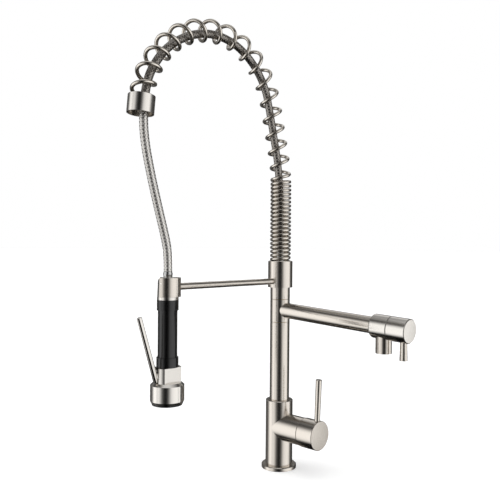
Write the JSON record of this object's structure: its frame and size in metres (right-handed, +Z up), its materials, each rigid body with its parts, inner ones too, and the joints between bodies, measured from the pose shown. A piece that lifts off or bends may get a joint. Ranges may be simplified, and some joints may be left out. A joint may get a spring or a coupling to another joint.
{
  "type": "spring kitchen faucet",
  "caption": "Kitchen tap with a coil spring arch over a pull-down sprayer in a dock ring, a side lever handle and a swivelling pot-filler spout with its own end valve.",
  "frame": {"origin": "centre of the deck flange's underside, on the column's axis", "axes": "+Z up the column; the arch and the sprayer lie towards -Y, the handle and the spout towards +X"},
  "size_m": [0.2415, 0.2976, 0.6235],
  "materials": {
    "satin_nickel": "satin nickel",
    "satin_bright": "bright satin nickel",
    "spring_steel": "satin wire",
    "stainless": "plain stainless",
    "brass": "machined",
    "white_plastic": "moulded",
    "seal_rubber": "smooth",
    "ceramic": "ground ceramic",
    "hose_braid": "stainless braid over rubber",
    "black_plastic": "satin moulded",
    "black_rubber": "matt"
  },
  "bodies": {
    "base": {"deck_flange": "satin_nickel", "base_gasket": "seal_rubber", "valve_body": "satin_nickel", "cartridge_seal": "seal_rubber", "cartridge_shell": "white_plastic", "ceramic_disc_fixed": "ceramic", "cartridge_nut": "brass", "trim_dome": "satin_nickel", "column_lower": "satin_nickel", "swivel_core": "brass", "hub_seals": "seal_rubber", "hub_bush_lower": "white_plastic", "hub_bush_upper": "white_plastic", "column_upper": "satin_nickel", "riser": "brass", "collar_bushes": "white_plastic", "collar_circlip": "stainless"},
    "mixer": {"turret": "white_plastic", "stem_pin": "stainless"},
    "handle": {"handle_stem": "brass", "handle_cap": "satin_nickel", "handle_pin": "satin_nickel", "set_screw": "stainless", "index_plug": "satin_nickel"},
    "slider": {"moving_disc": "ceramic"},
    "dock": {"dock_collar": "satin_nickel", "dock_arm": "satin_nickel", "dock_ring": "satin_bright", "spring_seat_ring": "white_plastic", "spring": "spring_steel", "spring_end_cap": "satin_bright", "hose_nut_lower": "brass", "hose_ferrule_lower": "stainless", "hose_arch": "hose_braid", "hose_drop": "hose_braid"},
    "hose_end": {"hose_ferrule": "stainless", "swivel_stem": "brass"},
    "sprayer": {"sprayer_neck": "satin_bright", "grip_core": "brass", "grip_band_top": "black_plastic", "grip_sleeve": "black_rubber", "grip_band_bottom": "black_plastic", "sprayer_body": "satin_bright", "lever_pin": "stainless", "bell": "satin_bright", "flow_plate": "white_plastic", "spray_face": "black_rubber"},
    "squeeze_lever": {"spray_lever": "satin_nickel"},
    "plunger": {"valve_plunger": "stainless"},
    "spout": {"spout_hub": "satin_nickel", "spout_tube": "satin_nickel", "spout_head": "satin_nickel", "aerator_housing": "satin_nickel", "aerator_insert": "white_plastic", "valve_seat_disc": "ceramic", "valve_nut": "brass"},
    "spout_cap": {"spout_end_cap": "satin_bright", "valve_pin": "satin_nickel", "valve_spindle": "brass"}
  },
  "joints": [
    {"name": "handle_temp", "type": "hinge", "parent": "base", "child": "mixer", "pos_m": [0.038, 0, 0.0605], "axis": [1, 0, 0], "range_deg": [-45, 45]},
    {"name": "handle_flow", "type": "hinge", "parent": "mixer", "child": "handle", "pos_m": [0.038, 0, 0.0605], "axis": [0, 1, 0], "range_deg": [0, 20]},
    {"name": "disc_slide", "type": "slide", "parent": "mixer", "child": "slider", "axis": [0, 0, 1], "range_m": [0, 0.0041]},
    {"name": "dock_swivel", "type": "hinge", "parent": "base", "child": "dock", "pos_m": [0, 0, 0.275], "axis": [0, 0, 1], "range_deg": [-180, 60]},
    {"name": "sprayer_pull", "type": "slide", "parent": "dock", "child": "hose_end", "axis": [0, 0, -1], "range_m": [0, 0.1], "stiffness_N_per_m": 30, "springref_m": -0.25, "deforming": ["hose_drop"]},
    {"name": "sprayer_turn", "type": "hinge", "parent": "hose_end", "child": "sprayer", "pos_m": [0, -0.212, 0.26], "axis": [0, 0, 1], "continuous": true},
    {"name": "lever_squeeze", "type": "hinge", "parent": "sprayer", "child": "squeeze_lever", "pos_m": [0, -0.2265, 0.166], "axis": [-1, 0, 0], "range_deg": [0, 14], "stiffness_Nm_per_rad": 0.3, "springref_deg": -20.05},
    {"name": "plunger_slide", "type": "slide", "parent": "sprayer", "child": "plunger", "axis": [0, 1, 0], "range_m": [0, 0.00174]},
    {"name": "spout_swivel", "type": "hinge", "parent": "base", "child": "spout", "pos_m": [0, 0, 0.23245], "axis": [0, 0, 1], "range_deg": [-60, 180]},
    {"name": "spout_valve", "type": "hinge", "parent": "spout", "child": "spout_cap", "pos_m": [0, 0, 0.23245], "axis": [0.9985, 0, -0.0541], "range_deg": [-90, 0]}
  ],
  "couplings": [
    {"joint": "disc_slide", "follows": "handle_flow", "m_per_rad": 0.011757},
    {"joint": "plunger_slide", "follows": "lever_squeeze", "m_per_rad": 0.007121}
  ]
}
